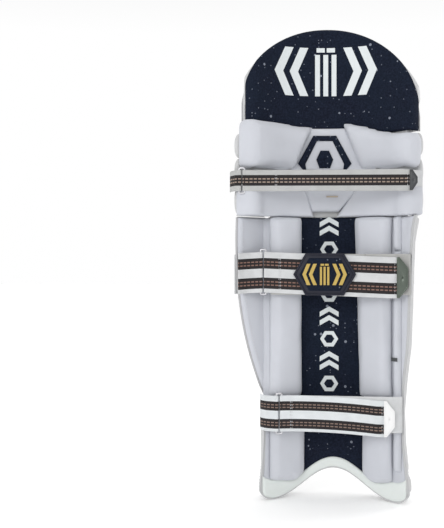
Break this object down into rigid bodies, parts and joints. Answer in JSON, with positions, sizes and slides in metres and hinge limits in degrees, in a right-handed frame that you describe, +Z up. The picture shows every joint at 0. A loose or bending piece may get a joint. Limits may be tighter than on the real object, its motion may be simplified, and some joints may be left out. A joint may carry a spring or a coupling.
{
  "type": "cricket leg pad",
  "caption": "Batting leg pad for the left leg: ribbed shin, rolled knee, rounded thigh guard, side wing and webbing straps with hook and loop ends.",
  "frame": {"origin": "on the leg's axis, level with the lowest point of the toe lobes", "axes": "+Z up the shin, +Y out of the striking face, +X towards the inner side of the leg"},
  "size_m": [0.2831, 0.1049, 0.7],
  "materials": {
    "cane": "raw",
    "filling": "matt",
    "foam_board": "matt",
    "navy_fabric": "matt",
    "piping": "satin",
    "cushion_mesh": "matt",
    "badge": "satin",
    "tag": "matt",
    "ring_metal": "brushed",
    "webbing": "woven",
    "tab_plastic": "gloss",
    "face_leather": "satin"
  },
  "bodies": {
    "shin": {"ankle_strap_anchor": "webbing", "ankle_strap_base": "webbing", "ankle_strap_ring": "ring_metal", "bolster_inner": "cushion_mesh", "bolster_outer": "cushion_mesh", "calf_strap_base": "webbing", "instep_badge": "badge", "instep_panel": "face_leather", "shin_backing": "foam_board", "shin_binding": "piping", "shin_canes": "cane", "shin_lining": "navy_fabric", "shin_rib_1": "face_leather", "shin_rib_2": "face_leather", "shin_rib_3": "face_leather", "shin_rib_4": "face_leather", "shin_rib_5": "face_leather", "shin_rib_6": "face_leather", "shin_rib_7": "face_leather", "side_guard": "cushion_mesh"},
    "knee_lower": {"knee_cushion_lower": "cushion_mesh", "knee_roll_lower": "face_leather", "knee_roll_lower_filling": "filling", "knee_strap_anchor": "webbing", "knee_strap_base": "webbing", "knee_strap_ring": "ring_metal"},
    "knee_middle": {"knee_roll_middle": "face_leather", "knee_roll_middle_filling": "filling"},
    "knee_upper": {"knee_cushion_inner": "cushion_mesh", "knee_cushion_outer": "cushion_mesh", "knee_patch": "navy_fabric", "knee_roll_upper": "face_leather", "knee_roll_upper_filling": "filling"},
    "thigh_guard": {"top_backing": "foam_board", "top_binding": "piping", "top_canes": "cane", "top_lining": "navy_fabric", "top_rib_1": "face_leather", "top_rib_2": "face_leather", "top_rib_3": "face_leather", "top_rib_4": "face_leather", "top_rib_5": "face_leather", "top_rib_6": "face_leather", "top_rib_7": "face_leather", "top_side_panel": "face_leather"},
    "wing": {"calf_strap_anchor": "webbing", "calf_strap_ring": "ring_metal", "size_tag": "tag", "wing_binding": "piping", "wing_pad": "face_leather"},
    "knee_strap_run": {"knee_strap_run": "webbing"},
    "knee_strap_end": {"knee_strap_tab": "tab_plastic", "knee_strap_tip": "webbing"},
    "calf_strap_run": {"calf_badge": "badge", "calf_strap_run": "webbing"},
    "calf_strap_end": {"calf_strap_tab": "tab_plastic", "calf_strap_tip": "webbing"},
    "ankle_strap_run": {"ankle_strap_run": "webbing"},
    "ankle_strap_end": {"ankle_strap_tab": "tab_plastic", "ankle_strap_tip": "webbing"}
  },
  "joints": [
    {"name": "knee_flex_1", "type": "hinge", "parent": "shin", "child": "knee_lower", "pos_m": [0, 0, 0.418], "axis": [1, 0, 0], "range_deg": [0, 6]},
    {"name": "knee_flex_2", "type": "hinge", "parent": "knee_lower", "child": "knee_middle", "pos_m": [0, 0, 0.463], "axis": [1, 0, 0], "range_deg": [0, 6]},
    {"name": "knee_flex_3", "type": "hinge", "parent": "knee_middle", "child": "knee_upper", "pos_m": [0, 0, 0.502], "axis": [1, 0, 0], "range_deg": [0, 6]},
    {"name": "knee_flex_4", "type": "hinge", "parent": "knee_upper", "child": "thigh_guard", "pos_m": [0, 0, 0.538], "axis": [1, 0, 0], "range_deg": [0, 6]},
    {"name": "wing_flex", "type": "hinge", "parent": "shin", "child": "wing", "pos_m": [-0.10056, 0.02582, 0.28], "axis": [0, 0, -1], "range_deg": [0, 25]},
    {"name": "knee_strap_swing", "type": "hinge", "parent": "knee_lower", "child": "knee_strap_run", "pos_m": [-0.127, -0.02865, 0.466], "axis": [0, 0, -1], "range_deg": [0, 120]},
    {"name": "knee_strap_peel", "type": "hinge", "parent": "knee_strap_run", "child": "knee_strap_end", "pos_m": [0, -0.0308, 0.466], "axis": [0, 0, -1], "range_deg": [0, 150]},
    {"name": "calf_strap_swing", "type": "hinge", "parent": "wing", "child": "calf_strap_run", "pos_m": [-0.0975, -0.01115, 0.332], "axis": [0, 0, -1], "range_deg": [0, 120]},
    {"name": "calf_strap_peel", "type": "hinge", "parent": "calf_strap_run", "child": "calf_strap_end", "pos_m": [0.048, -0.0133, 0.332], "axis": [0, 0, -1], "range_deg": [0, 150]},
    {"name": "ankle_strap_swing", "type": "hinge", "parent": "shin", "child": "ankle_strap_run", "pos_m": [-0.0745, -0.01115, 0.131], "axis": [0, 0, -1], "range_deg": [0, 120]},
    {"name": "ankle_strap_peel", "type": "hinge", "parent": "ankle_strap_run", "child": "ankle_strap_end", "pos_m": [0, -0.0133, 0.131], "axis": [0, 0, -1], "range_deg": [0, 150]}
  ],
  "couplings": [
    {"joint": "knee_flex_2", "follows": "knee_flex_1", "ratio": 1},
    {"joint": "knee_flex_3", "follows": "knee_flex_1", "ratio": 1},
    {"joint": "knee_flex_4", "follows": "knee_flex_1", "ratio": 1}
  ]
}
